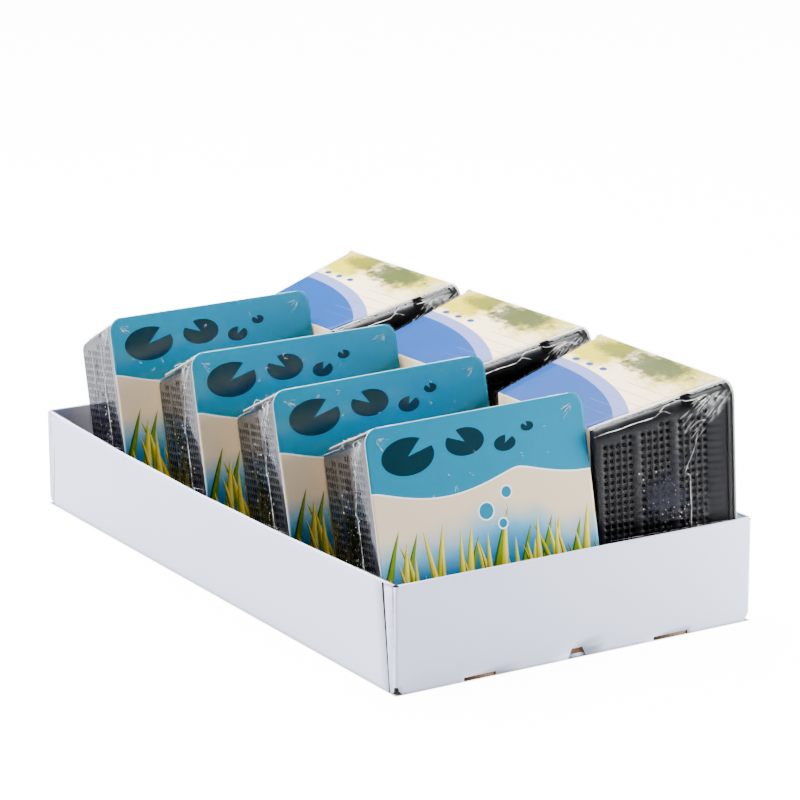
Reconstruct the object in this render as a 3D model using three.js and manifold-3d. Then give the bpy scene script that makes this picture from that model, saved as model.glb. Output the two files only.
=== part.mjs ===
// Display tray of boxed pond plant kits: a folded board tray that holds seven kits.
// Each kit is a tapered planting basket lying on its side, with planting soil inside,
// a card sleeve folded round it and a thin wrap of shrink film over everything.
// Millimetres, +Z up. The origin is the centre of the tray's underside, +Y runs to its back.
import * as THREE from "three";
import { mergeVertices } from "three/addons/utils/BufferGeometryUtils.js";
import Module from "manifold-3d";

const wasm = await Module();
wasm.setup();

// Tray
const TRAY_WIDTH = 334;
const TRAY_LENGTH = 600;
const TRAY_HEIGHT = 87;
const BOARD = 3;
const BOW_LEFT = 10;
const BOW_RIGHT = 4;
const BOW_STEPS = 14;
const CORNER_NIP = 8;
const SLOT_HEIGHT = 3.2;
const SLOT_DEPTH = 1.6;
const SLOTS = [[-106, -77], [72, 105]];
const NOTCH_CENTRE = -1.5;
const NOTCH_HEIGHT = 8;
const NOTCH_BOTTOM_WIDTH = 17;
const NOTCH_TOP_WIDTH = 10;

// Kit, as measured over its card sleeve
const KIT_WIDTH = 196.5;
const KIT_DEPTH = 117;
const TAPER = THREE.MathUtils.degToRad(11.3);
const CARD = 0.8;
const GAP = 0.3;
const FILM = 0.2;
const FRONT_CORNER = 12;
const BASE_CORNER = 9;
const CORNER_STEPS = 4;

// Basket
const BASKET_WALL = 1.6;
const LIP_HEIGHT = 4;
const LIP_OVERHANG = 2.4;
const BASE_EDGE = 3;

// Soil, sleeve and film
const SOIL_TOP_DROP = 12;
const SLEEVE_FRONT_MARGIN = 12;
const SLEEVE_BASE_MARGIN = 9;
const VENT_RADIUS = 6;
const VENT_DEPTH = 34;

// Where each kit stands. A left kit faces the tray's front and rests on its tapered wall,
// with its front left corner given from the tray's left and front outer faces.
const LEFT_KITS = [
  { x: 5.1, y: 9.4, turn: -1.0, roll: 1.2 },
  { x: 3.6, y: 145.1, turn: -0.9, roll: 1.5 },
  { x: 3.6, y: 286, turn: -0.3, roll: 0.5 },
  { x: 3.6, y: 433.4, turn: -0.5, roll: 0.8 },
];
// A right kit faces the tray's right wall, with its far corner given from the right and front faces.
const RIGHT_KITS = [
  { x: 4.4, y: 200.2, turn: -1, lean: 3, roll: 0 },
  { x: 4.4, y: 397.8, turn: 0.1, lean: 3.5, roll: -0.6 },
  { x: 5.2, y: 595.3, turn: 0.3, lean: 4.5, roll: -0.6 },
];

const degrees = THREE.MathUtils.degToRad;
const baseWidth = KIT_WIDTH - 2 * KIT_DEPTH * Math.tan(TAPER);
const kitFloor = BOARD + GAP + FILM + GAP;

const MATERIALS = {
  board: new THREE.MeshStandardMaterial({ color: 0xe6e8ee, roughness: 0.55, metalness: 0 }),
  basket: new THREE.MeshStandardMaterial({ color: 0x17171a, roughness: 0.4, metalness: 0 }),
  sleeve: new THREE.MeshStandardMaterial({ color: 0x0a94ad, roughness: 0.35, metalness: 0 }),
  soil: new THREE.MeshStandardMaterial({ color: 0x2b1d14, roughness: 0.95, metalness: 0 }),
  film: new THREE.MeshStandardMaterial({
    color: 0xeaf0f2, roughness: 0.08, metalness: 0, transparent: true, opacity: 0.2,
  }),
};

// A closed solid through rings of equal length: both end rings are capped from their middles.
function loft(rings) {
  const count = rings[0].length;
  const positions = rings.flat().flatMap((p) => [p.x, p.y, p.z]);
  const faces = [];
  for (let r = 0; r + 1 < rings.length; r += 1) {
    for (let i = 0; i < count; i += 1) {
      const next = (i + 1) % count;
      const a = r * count + i;
      const b = r * count + next;
      faces.push(a, b, b + count, a, b + count, a + count);
    }
  }
  const cap = (ring, start, flip) => {
    const middle = new THREE.Vector3();
    ring.forEach((p) => middle.addScaledVector(p, 1 / count));
    const centre = positions.length / 3;
    positions.push(middle.x, middle.y, middle.z);
    for (let i = 0; i < count; i += 1) {
      const next = (i + 1) % count;
      if (flip) faces.push(centre, start + next, start + i);
      else faces.push(centre, start + i, start + next);
    }
  };
  cap(rings[0], 0, true);
  cap(rings[rings.length - 1], (rings.length - 1) * count, false);
  const geometry = new THREE.BufferGeometry();
  geometry.setAttribute("position", new THREE.Float32BufferAttribute(positions, 3));
  geometry.setIndex(faces);
  return signedVolume(geometry) < 0 ? turnedInsideOut(geometry) : geometry;
}

function signedVolume(geometry) {
  const p = geometry.getAttribute("position");
  const index = geometry.getIndex();
  const [a, b, c] = [new THREE.Vector3(), new THREE.Vector3(), new THREE.Vector3()];
  let volume = 0;
  for (let i = 0; i < index.count; i += 3) {
    a.fromBufferAttribute(p, index.getX(i));
    b.fromBufferAttribute(p, index.getX(i + 1));
    c.fromBufferAttribute(p, index.getX(i + 2));
    volume += a.dot(b.cross(c)) / 6;
  }
  return volume;
}

function turnedInsideOut(geometry) {
  const index = geometry.getIndex().array;
  for (let i = 0; i < index.length; i += 3) {
    [index[i], index[i + 1]] = [index[i + 1], index[i]];
  }
  return geometry;
}

function solid(geometry) {
  const bare = geometry.clone();
  bare.deleteAttribute("normal");
  bare.deleteAttribute("uv");
  const merged = mergeVertices(bare, 1e-4);
  return new wasm.Manifold(new wasm.Mesh({
    numProp: 3,
    vertProperties: new Float32Array(merged.getAttribute("position").array),
    triVerts: new Uint32Array(merged.getIndex().array),
  }));
}

function geometryOf(manifold) {
  const mesh = manifold.getMesh();
  const geometry = new THREE.BufferGeometry();
  geometry.setAttribute("position", new THREE.BufferAttribute(new Float32Array(mesh.vertProperties), 3));
  geometry.setIndex(new THREE.BufferAttribute(new Uint32Array(mesh.triVerts), 1));
  return geometry;
}

function namedMesh(name, geometry, material) {
  const mesh = new THREE.Mesh(geometry, material);
  mesh.name = name;
  return mesh;
}

// A square with rounded corners, upright at one depth of a kit and centred on its axis.
function squareRing(half, corner, depth) {
  const ring = [];
  for (let quarter = 0; quarter < 4; quarter += 1) {
    for (let step = 0; step <= CORNER_STEPS; step += 1) {
      const angle = (quarter + step / CORNER_STEPS) * Math.PI / 2;
      const signX = quarter === 0 || quarter === 3 ? 1 : -1;
      const signZ = quarter < 2 ? 1 : -1;
      const x = signX * (half - corner) + corner * Math.cos(angle);
      const z = signZ * (half - corner) + corner * Math.sin(angle);
      ring.push(new THREE.Vector3(x, depth, z + KIT_WIDTH / 2));
    }
  }
  return ring;
}

// A flat polygon with a thickness: points are (x, y), and the plate runs along z from low to high.
function plate(points, low, high) {
  const shape = new THREE.Shape(points.map(([x, y]) => new THREE.Vector2(x, y)));
  const geometry = new THREE.ExtrudeGeometry(shape, { depth: high - low, bevelEnabled: false });
  return geometry.translate(0, 0, low);
}

function box(x0, x1, y0, y1, z0, z1) {
  const geometry = new THREE.BoxGeometry(x1 - x0, y1 - y0, z1 - z0);
  return geometry.translate((x0 + x1) / 2, (y0 + y1) / 2, (z0 + z1) / 2);
}

// The tray's outline at one height: the long walls bow outwards, most at their top edge.
function trayRing(inset, z) {
  const halfWidth = TRAY_WIDTH / 2 - inset;
  const halfLength = TRAY_LENGTH / 2 - inset;
  const ring = [];
  for (let i = 0; i <= BOW_STEPS; i += 1) {
    const s = i / BOW_STEPS;
    const bow = BOW_RIGHT * (z / TRAY_HEIGHT) * Math.sin(Math.PI * s);
    ring.push(new THREE.Vector3(halfWidth + bow, halfLength * (2 * s - 1), z));
  }
  for (let i = 0; i <= BOW_STEPS; i += 1) {
    const s = 1 - i / BOW_STEPS;
    const bow = BOW_LEFT * (z / TRAY_HEIGHT) * Math.sin(Math.PI * s);
    ring.push(new THREE.Vector3(-halfWidth - bow, halfLength * (2 * s - 1), z));
  }
  return ring;
}

function trayGeometry() {
  const shell = loft([
    trayRing(0, 0),
    trayRing(0, TRAY_HEIGHT),
    trayRing(BOARD, TRAY_HEIGHT),
    trayRing(BOARD, BOARD),
  ]);
  let tray = solid(shell);
  const front = -TRAY_LENGTH / 2;
  for (const side of [-1, 1]) {
    for (const end of [-1, 1]) {
      const nip = new THREE.OctahedronGeometry(CORNER_NIP, 0);
      nip.translate(side * TRAY_WIDTH / 2, end * TRAY_LENGTH / 2, 0);
      tray = tray.subtract(solid(nip));
    }
  }
  for (const [from, to] of SLOTS) {
    for (const y of [front, -front - SLOT_DEPTH]) {
      const outside = y < 0 ? [y - 1, y + SLOT_DEPTH] : [y, y + SLOT_DEPTH + 1];
      tray = tray.subtract(solid(box(from, to, outside[0], outside[1], -1, SLOT_HEIGHT)));
    }
  }
  const notch = plate([
    [NOTCH_CENTRE - NOTCH_BOTTOM_WIDTH / 2, -1],
    [NOTCH_CENTRE + NOTCH_BOTTOM_WIDTH / 2, -1],
    [NOTCH_CENTRE + NOTCH_TOP_WIDTH / 2, NOTCH_HEIGHT],
    [NOTCH_CENTRE - NOTCH_TOP_WIDTH / 2, NOTCH_HEIGHT],
  ], -SLOT_DEPTH, 1);
  notch.rotateX(Math.PI / 2).translate(0, front, 0);
  return geometryOf(tray.subtract(solid(notch)));
}

// The basket's depths and its half widths at a depth, inside the card on every side.
const mouth = CARD + GAP;
const end = KIT_DEPTH - CARD - GAP;
const insideCard = (depth) => KIT_WIDTH / 2 - depth * Math.tan(TAPER) - mouth / Math.cos(TAPER);

function bodyHalf(depth) {
  const under = insideCard(mouth) - LIP_OVERHANG;
  return THREE.MathUtils.mapLinear(depth, mouth, end, under, insideCard(end));
}

// A tapered basket, open at its mouth, with a turned lip round it.
function basketGeometry() {
  const inside = end - BASKET_WALL;
  return loft([
    squareRing(bodyHalf(end) - BASE_EDGE, BASE_CORNER - BASE_EDGE, end),
    squareRing(bodyHalf(end - BASE_EDGE), BASE_CORNER, end - BASE_EDGE),
    squareRing(bodyHalf(mouth + LIP_HEIGHT), FRONT_CORNER - LIP_OVERHANG, mouth + LIP_HEIGHT),
    squareRing(insideCard(mouth + LIP_HEIGHT), FRONT_CORNER, mouth + LIP_HEIGHT),
    squareRing(insideCard(mouth), FRONT_CORNER, mouth),
    squareRing(bodyHalf(mouth) - BASKET_WALL, FRONT_CORNER - LIP_OVERHANG - BASKET_WALL, mouth),
    squareRing(bodyHalf(inside) - BASKET_WALL, BASE_CORNER - BASKET_WALL, inside),
  ]);
}

function soilGeometry() {
  const clearance = BASKET_WALL + 2 * GAP;
  const top = mouth + SOIL_TOP_DROP;
  const bottom = end - BASKET_WALL - GAP;
  return loft([
    squareRing(bodyHalf(top) - clearance, FRONT_CORNER - clearance, top),
    squareRing(bodyHalf(bottom) - clearance, BASE_CORNER - clearance, bottom),
  ]);
}

// A band of card folded round the basket's mouth, upper wall, base and lower wall.
function sleeveGeometry() {
  const taperInset = KIT_DEPTH * Math.tan(TAPER);
  const outline = (inset) => {
    const shift = inset / Math.cos(TAPER);
    const slope = Math.tan(TAPER);
    return [
      [inset, shift + inset * slope],
      [KIT_DEPTH - inset, shift + (KIT_DEPTH - inset) * slope],
      [KIT_DEPTH - inset, KIT_WIDTH - shift - (KIT_DEPTH - inset) * slope],
      [inset, KIT_WIDTH - shift - inset * slope],
    ];
  };
  const half = KIT_WIDTH / 2;
  const along = (points, reach) => plate(points, -reach, reach)
    .applyMatrix4(new THREE.Matrix4().makeBasis(
      new THREE.Vector3(0, 1, 0), new THREE.Vector3(0, 0, 1), new THREE.Vector3(1, 0, 0)));
  const band = solid(along(outline(0), half)).subtract(solid(along(outline(CARD), half + 1)));
  const frontFace = loft([squareRing(half, FRONT_CORNER, 0), squareRing(half, FRONT_CORNER, CARD)]);
  const widthAtFront = half - SLEEVE_FRONT_MARGIN;
  const widthAtBase = half - taperInset - SLEEVE_BASE_MARGIN;
  const folded = plate([
    [-widthAtFront, CARD / 2],
    [widthAtFront, CARD / 2],
    [widthAtBase, KIT_DEPTH + 1],
    [-widthAtBase, KIT_DEPTH + 1],
  ], -1, KIT_WIDTH + 1);
  return geometryOf(band.intersect(solid(frontFace).add(solid(folded))));
}

// Thin film drawn tight over the whole kit, with a round vent at one long edge.
function filmGeometry() {
  const skin = (offset) => [
    squareRing(KIT_WIDTH / 2 + offset, FRONT_CORNER, -offset),
    squareRing(baseWidth / 2 + offset, BASE_CORNER, KIT_DEPTH + offset),
  ];
  const shell = solid(loft(skin(GAP + FILM))).subtract(solid(loft(skin(GAP))));
  const half = KIT_WIDTH / 2 - VENT_DEPTH * Math.tan(TAPER) - FRONT_CORNER / 2;
  const vent = new THREE.CylinderGeometry(VENT_RADIUS, VENT_RADIUS, 2 * FRONT_CORNER, 16);
  vent.rotateZ(Math.PI / 4).translate(-half, VENT_DEPTH, KIT_WIDTH / 2 + half);
  return geometryOf(shell.subtract(solid(vent)));
}

const pieces = {
  basket: basketGeometry(),
  soil: soilGeometry(),
  sleeve: sleeveGeometry(),
  film: filmGeometry(),
};

// A kit's own origin is the middle of its mouth's lower edge, with its depth along +Y.
function kitGroup(label, position, lean, turn, roll) {
  const group = new THREE.Group();
  for (const [piece, geometry] of Object.entries(pieces)) {
    group.add(namedMesh(`${piece}_${label}`, geometry, MATERIALS[piece]));
  }
  group.rotation.set(-lean, -roll, turn, "ZXY");
  group.position.copy(position);
  return group;
}

// The kit turned in place so that the given lower corner of its mouth stands at the given point.
function kitOnCorner(label, corner, side, lean, turn, roll) {
  const group = kitGroup(label, new THREE.Vector3(), lean, turn, roll);
  const lowerCorner = new THREE.Vector3(side * KIT_WIDTH / 2, 0, 0).applyEuler(group.rotation);
  group.position.copy(corner).sub(lowerCorner);
  return group;
}

const model = new THREE.Group();
model.add(namedMesh("tray", trayGeometry(), MATERIALS.board));
LEFT_KITS.forEach((kit, i) => {
  const corner = new THREE.Vector3(kit.x - TRAY_WIDTH / 2, kit.y - TRAY_LENGTH / 2, kitFloor);
  model.add(kitOnCorner(`left_${i + 1}`, corner, -1, TAPER, degrees(kit.turn), degrees(kit.roll)));
});
RIGHT_KITS.forEach((kit, i) => {
  const corner = new THREE.Vector3(TRAY_WIDTH / 2 - kit.x, kit.y - TRAY_LENGTH / 2, kitFloor);
  const turn = degrees(90 + kit.turn);
  model.add(kitOnCorner(`right_${i + 1}`, corner, 1, degrees(kit.lean), turn, degrees(kit.roll)));
});

export default model;
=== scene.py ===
"""Looks of a display tray of boxed pond plant kits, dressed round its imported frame.

Seven kits lie in a folded white board tray. Each kit is a perforated black basket with soil in it,
a printed card sleeve folded round it and a tight wrap of clear shrink film. Metres throughout.
"""

import math
import random

import bmesh
import bpy
from mathutils import Matrix, Vector, noise


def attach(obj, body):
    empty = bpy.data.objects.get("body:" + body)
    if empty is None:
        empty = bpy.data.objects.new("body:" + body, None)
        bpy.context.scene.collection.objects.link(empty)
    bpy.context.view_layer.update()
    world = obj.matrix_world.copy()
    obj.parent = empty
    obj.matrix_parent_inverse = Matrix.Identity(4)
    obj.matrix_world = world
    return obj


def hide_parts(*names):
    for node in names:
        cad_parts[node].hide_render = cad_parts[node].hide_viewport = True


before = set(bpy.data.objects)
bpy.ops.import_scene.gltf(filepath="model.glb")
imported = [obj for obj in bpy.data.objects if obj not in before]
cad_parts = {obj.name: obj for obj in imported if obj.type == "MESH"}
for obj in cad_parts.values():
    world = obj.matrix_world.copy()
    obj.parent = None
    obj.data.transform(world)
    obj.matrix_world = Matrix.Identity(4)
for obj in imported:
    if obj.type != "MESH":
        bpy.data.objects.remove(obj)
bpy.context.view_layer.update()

MM = 0.001
NEAR = 0.001 * MM
WELD = 0.01 * MM
BASKET_WELD = 0.002 * MM
SLEEVE_WELD = 0.005 * MM
CUT_WELD = 0.0001 * MM
BODY = "root"


def in_mm(*places):
    """Places given in millimetres, in metres."""
    return tuple(tuple(value * MM for value in place) for place in places)


# Tray
TRAY_WIDTH = 334 * MM
TRAY_LENGTH = 600 * MM
TRAY_HEIGHT = 87 * MM
BOARD = 3 * MM
PLY = 1.4 * MM
ROLL_RADIUS = 1.3 * MM
BOWS = {-1: 10 * MM, 1: 4 * MM}
CORNER_NIP = 6.5 * MM
CORNER_RADIUS = 2.2 * MM
FLAP_TOP = 17 * MM
FLAP_BOTTOM = 8 * MM
FLAP_GAP = 1.4 * MM
SCORE_PLACE = 5.5 * MM
SCORE_REACH = 3.3 * MM
SCORE_DEPTH = 1.55 * MM
TAB_INSET = 0.7 * MM
TAB_REACH = 52 * MM
TAB_DROP = 0.6 * MM
SLOT_HEIGHT = 3.2 * MM
SLOTS = in_mm((-106, -77), (72, 105))
NOTCH_CENTRE = -1.5 * MM
NOTCH_HEIGHT = 8 * MM
NOTCH_BOTTOM_WIDTH = 17 * MM
NOTCH_TOP_WIDTH = 10 * MM
NOTCH_SPAN = (NOTCH_CENTRE - NOTCH_BOTTOM_WIDTH / 2, NOTCH_CENTRE + NOTCH_BOTTOM_WIDTH / 2)
TAB_FOOT = 0.3 * MM
SLOT_SHADOW = 0.5 * MM
NOTCH_SHADOW = 1.5 * MM
TAB_CLEARANCE = 0.2 * MM
DENT_DEPTH = 0.7 * MM

# How finely the tray is divided
WALL_COLUMNS = 48
CORNER_LINES = (0.0, 3 * MM, 6 * MM, 10 * MM)
EVEN_LINES_FROM = 30 * MM
CORNER_TURNS = 4
FLAP_STEPS = 10

# Kit, as measured over its card sleeve
KIT_WIDTH = 196.5 * MM
KIT_DEPTH = 117 * MM
TAPER_DEGREES = 11.3
TAPER = math.radians(TAPER_DEGREES)
CARD = 0.8 * MM
GAP = 0.3 * MM
FILM = 0.2 * MM
FRONT_CORNER = 12 * MM
BASE_CORNER = 9 * MM
FOLD_RADIUS = 1.2 * MM

# Basket, whose mouth and base lie just inside the card
MOUTH = CARD + GAP
END = KIT_DEPTH - CARD - GAP
BASKET_WALL = 1.6 * MM
HOLE_RIM = 1.1 * MM
LIP_HEIGHT = 4 * MM
LIP_OVERHANG = 2.4 * MM
BASE_EDGE = 3 * MM
HOLE = 3.8 * MM
COLUMN_PITCH = 5.3 * MM
ROW_PITCH = 5.95 * MM
FIRST_COLUMN = 23.5 * MM
COLUMNS = tuple(k for k in range(17) if k not in (5, 11))
ROWS = 14
PLAIN_MARGIN = 10 * MM
CORNER_SEGMENTS = 4

# Soil and sleeve
SOIL_TOP_DROP = 12 * MM
SOIL_CUTS = 40
LUMP = 3 * MM
CRUMB = 1.2 * MM
SLEEVE_FRONT_MARGIN = 12 * MM
SLEEVE_BASE_MARGIN = 9 * MM
FRONT_LINES, CURVE_LINES, PANEL_LINES = 16, 6, 10

# Film
VENT_RADIUS = 5.5 * MM
VENT_SINK = 4.8 * MM
VENT_DEPTH = 37 * MM
FILM_CUTS = 55
FILM_WAVE = 0.5 * MM
FOLD_FOOT = 0.05 * MM
ROUTE_STEP = 4 * MM
DAMP_REACH = (80 * MM, 42 * MM)
DAMP_DROP = 4 * MM

# Where each kit stands: a lower corner of its mouth, from the tray's side and front in
# millimetres, then its lean, turn and roll in degrees, and the seed of its film
KITS = {
    "left_1": (5.1, 9.4, TAPER_DEGREES, -1.0, 1.2, 11),
    "left_2": (3.6, 145.1, TAPER_DEGREES, -0.9, 1.5, 12),
    "left_3": (3.6, 286.0, TAPER_DEGREES, -0.3, 0.5, 13),
    "left_4": (3.6, 433.4, TAPER_DEGREES, -0.5, 0.8, 14),
    "right_1": (4.4, 200.2, 3.0, 89.0, 0.0, 31),
    "right_2": (4.4, 397.8, 3.5, 90.1, -0.6, 32),
    "right_3": (5.2, 595.3, 4.5, 90.3, -0.6, 33),
}
KIT_FLOOR = BOARD + GAP + FILM + GAP

# Sleeve print, in shares of the front's width and of the upper panel's width and depth
TEAL_EDGE = 0.76
TEAL_SWING = 0.07
TEAL_RIM = 0.007
PAD_FLATNESS = 1.6
PAD_NOTCH = 0.95
DARK_PADS = (((0.18, 0.868), 0.118, 0.7), ((0.44, 0.885), 0.088, 2.3), ((0.62, 0.85), 0.05, 1.1),
             ((0.73, 0.90), 0.03, 2.0))
TEAL_BUBBLES = (((0.50, 0.60), 0.032), ((0.60, 0.66), 0.022), ((0.57, 0.54), 0.018))
BUBBLE_RIM = 0.006
REED_HALF_WIDTH = 0.36
FOLD_SHARE = 0.013
ARCH_CENTRE = (0.86, 1.42)
RULE_PITCH = 0.1
RULE_HALF_WIDTH = 0.003
PANEL_DOTS = ((0.62, 0.36), (0.72, 0.36), (0.82, 0.36))
DOT_RADIUS = 0.022

KNOT = (71, 28)
KNOT_STEPS = {True: (-5, -2, 1, 4, 7, 10), False: (-1, 4)}
LOOPS = (
    in_mm((92, 44), (89, 58), (84, 62), (80, 54)),
    in_mm((86, 8), (90, 20), (86, 30), (82, 26)),
    in_mm((93, 26), (90, 36), (92, 43)),
)
CRACK = in_mm((68, 30), (46, 36), (30, 43), (27, 39), (-88, 38))
EDGE_LINE = in_mm((70, 118), (74, 95), (77, 81), (79, 67), (84, 60))
SEAM = in_mm((-15, 3), (-17, 110))

# Single lines: a route, then how far it strays, its width and its height in millimetres
LINES = (*((loop, 0.8, 0.5, 0.4) for loop in LOOPS), (CRACK, 0.5, 0.55, 0.4),
         (EDGE_LINE, 0.3, 0.5, 0.4), (SEAM, 0.3, 0.3, 0.25))

# Fans of lines: side, knot, heading, spread, reach, count and width, in degrees and millimetres,
# of which the fans beside the knot and the small fans are given the last few
KNOT_FANS = ((133, 6, 34, 6, 0.26), (-42, 8, 16, 2, 0.26))
KNOT_STAR = ("near", KNOT, 0, 180, 3, 7, 0.4)
FOOT_FAN = ("near", (-86, 4), -40, 30, 26, 10, 0.4)
FRONT_FANS = (
    ("front", (-90, 90), 120, 30, 12, 9, 0.26),
    ("front", (88, 90), -120, 30, 12, 8, 0.26),
)
OTHER_FANS = (
    ("far", (88, 4), -60, 40, 40, 24, 0.5),
    ("top", (-84, 4), 40, 40, 26, 14, 0.4),
    ("top", (84, 4), -40, 40, 22, 10, 0.4),
)
SMALL_FAN = (50, 4, 3, 0.3)
SMALL_FANS = 9
SMALL_FAN_PLACES = ((-80, 70), (40, 90))
BEADS = 110
BEAD_CENTRE = (-12 * MM, 54 * MM)
BEAD_SPREAD = (34 * MM, 15 * MM)

# How near a fan may come to its wall's edges
FAN_LIMIT_ACROSS = 94 * MM
FAN_LIMIT = {side: (0.6 * MM, 112 * MM) for side in ("near", "far", "top")}
FAN_LIMIT["front"] = (-90 * MM, 95 * MM)

# Camera, at the photograph's viewing angle
CAMERA_PLACE = (-1.3467, -2.2276, 0.8318)
CAMERA_HEADING = math.radians(-31.567)
CAMERA_PITCH = math.radians(14.890)
CAMERA_ROLL = math.radians(-0.197)
CAMERA_LENS = 143.43

# Floor and surround
FLOOR_GLOW = 14.0
FLOOR_BOUNCE = 0.55
FOOT_INSET = 1 * MM
# Painted contact shadow: how far from the tray's foot the floor's camera-seen glow fades in
CONTACT_SHADOW_REACH = 3.5 * MM
FLOOR_SIZE = 15.0
WORLD_TINT = (0.9, 0.94, 1.0, 1.0)
WORLD_STRENGTH = 0.15

# Lights: place, aim, width and length, and power
MIDDLE = (0.0, 0.0, 0.1)
LIGHTS = {
    "overhead_softbox": ((-0.1, 1.1, 2.4), MIDDLE, (2.8, 1.9), 560),
    "left_softbox": ((-2.5, 0.3, 0.9), MIDDLE, (1.6, 1.4), 100),
    "right_fill": ((1.5, -1.3, 0.5), (0.1, -0.3, 0.05), (0.7, 0.9), 28),
    "near_reflector": ((0.75, -0.62, 0.22), (0.16, -0.3, 0.05), (0.4, 0.4), 18),
}


# Colours

def linear(red, green, blue):
    """A screen colour, 0 to 255, as the linear colour that shaders take."""
    def channel(value):
        share = value / 255
        return share / 12.92 if share <= 0.04045 else ((share + 0.055) / 1.055) ** 2.4
    return channel(red), channel(green), channel(blue), 1.0


WHITE = (1.0, 1.0, 1.0, 1.0)
COATED_BOARD = linear(223, 231, 255)
# Painted shade: a darker grey copy of the white board for the tray's inside and floor, which lie in shade
INSIDE_SHADE_GREY = linear(120, 130, 162)
RUBBED_BOARD = linear(208, 213, 226)
KRAFT = linear(128, 92, 62)
# Painted shade: the board's cut edges are dark grey rather than kraft, for the shade in the narrow gaps
# between its sheets
SHADED_CUT_EDGE = linear(74, 68, 66)
CARD_CORE = linear(214, 212, 206)
# Painted highlight: a pale band along the upper panel's fold with the front, for the light the film reflects
# along the fold
PAINTED_FOLD_HIGHLIGHT = linear(168, 212, 220)
TEAL = linear(0, 126, 160)
DARK_TEAL = linear(0, 42, 54)
PRINT_CREAM = linear(236, 214, 180)
PRINT_SKY = linear(104, 176, 212)
PRINT_DEEP_SKY = linear(0, 118, 172)
LEAF_PALE = linear(250, 240, 124)
LEAF_YELLOW = linear(226, 196, 6)
LEAF_GREEN = linear(112, 140, 6)
LEAF_DARK = linear(26, 70, 6)
PANEL_CREAM = linear(252, 228, 186)
PANEL_BLUE = linear(0, 62, 130)
PANEL_LILAC = linear(112, 122, 176)
PANEL_GREY = linear(96, 100, 130)
WASH_YELLOW = linear(190, 176, 20)
WASH_GREEN = linear(28, 56, 30)
BLACK_PLASTIC = linear(18, 18, 21)
# Painted shade: a darker copy of the black plastic for the sides of the holes, the basket's inner face and
# the vent
SHADED_PLASTIC = linear(9, 9, 10)
DUSTY_PLASTIC = linear(36, 36, 40)
FILM_HAZE = linear(57, 58, 65)
PEAT = linear(10, 8, 7)
PEAT_FIBRE = linear(26, 20, 15)
FLOOR_GREY = linear(144, 146, 151)

# Reeds: how many, seed, height, slant and bend, then the colours of edge, body and light side
REED_ROWS = (
    (8.0, 3.0, 0.62, 0.10, 0.25, LEAF_DARK, LEAF_GREEN, LEAF_GREEN),
    (10.0, 17.0, 0.57, -0.10, -0.30, LEAF_DARK, LEAF_GREEN, LEAF_YELLOW),
    (7.0, 29.0, 0.68, 0.02, 0.15, LEAF_GREEN, LEAF_YELLOW, LEAF_PALE),
    (9.0, 41.0, 0.60, -0.04, -0.12, LEAF_GREEN, LEAF_YELLOW, LEAF_PALE),
    (11.0, 53.0, 0.52, 0.08, -0.35, LEAF_DARK, LEAF_YELLOW, LEAF_PALE),
    (9.0, 71.0, 0.56, -0.12, 0.20, LEAF_GREEN, LEAF_YELLOW, LEAF_PALE),
)

# Washes: centre, reach, colour and strength
WASHES = (
    ((0.30, 0.08), (0.36, 0.36), WASH_YELLOW, 0.9),
    ((0.80, 0.14), (0.32, 0.36), WASH_YELLOW, 1.0),
    ((0.42, 0.13), (0.30, 0.22), WASH_GREEN, 0.9),
    ((0.72, 0.10), (0.20, 0.16), WASH_GREEN, 0.7),
)
ARCHES = ((1.02, PANEL_LILAC), (0.93, PANEL_BLUE))

# The places of a piece's finishes in its list
TRAY_LOOKS = ("board", "raw", "shaded_inside", "raw", "cut", "cut", "cut")
PRINTED_FACE, RAW_FACE, SHADED_INSIDE_FACE, CUT_RIM = 0, 1, 2, 4
FRONT_FACE, UPPER_FACE, PLAIN_FACE, CORE_FACE = range(4)
FOLD_FACE, VENT_FACE = 1, 2


# Shader sketching

def answer(operation, swapped=False):
    """How a Value answers one of Python's signs: with a maths node."""
    def made(value, other=0.0):
        values = (other, value) if swapped else (value, other)
        return value.sketch.maths(operation, *values)
    return made


class Value:
    """A node's output, which sums and comparisons take like a number."""

    def __init__(self, sketch, socket):
        self.sketch = sketch
        self.socket = socket

    __add__ = answer("ADD")
    __sub__ = answer("SUBTRACT")
    __rsub__ = answer("SUBTRACT", swapped=True)
    __mul__ = answer("MULTIPLY")
    __truediv__ = answer("DIVIDE")
    __pow__ = answer("POWER")
    __abs__ = answer("ABSOLUTE")
    __lt__ = answer("LESS_THAN")
    __gt__ = answer("GREATER_THAN")


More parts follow.
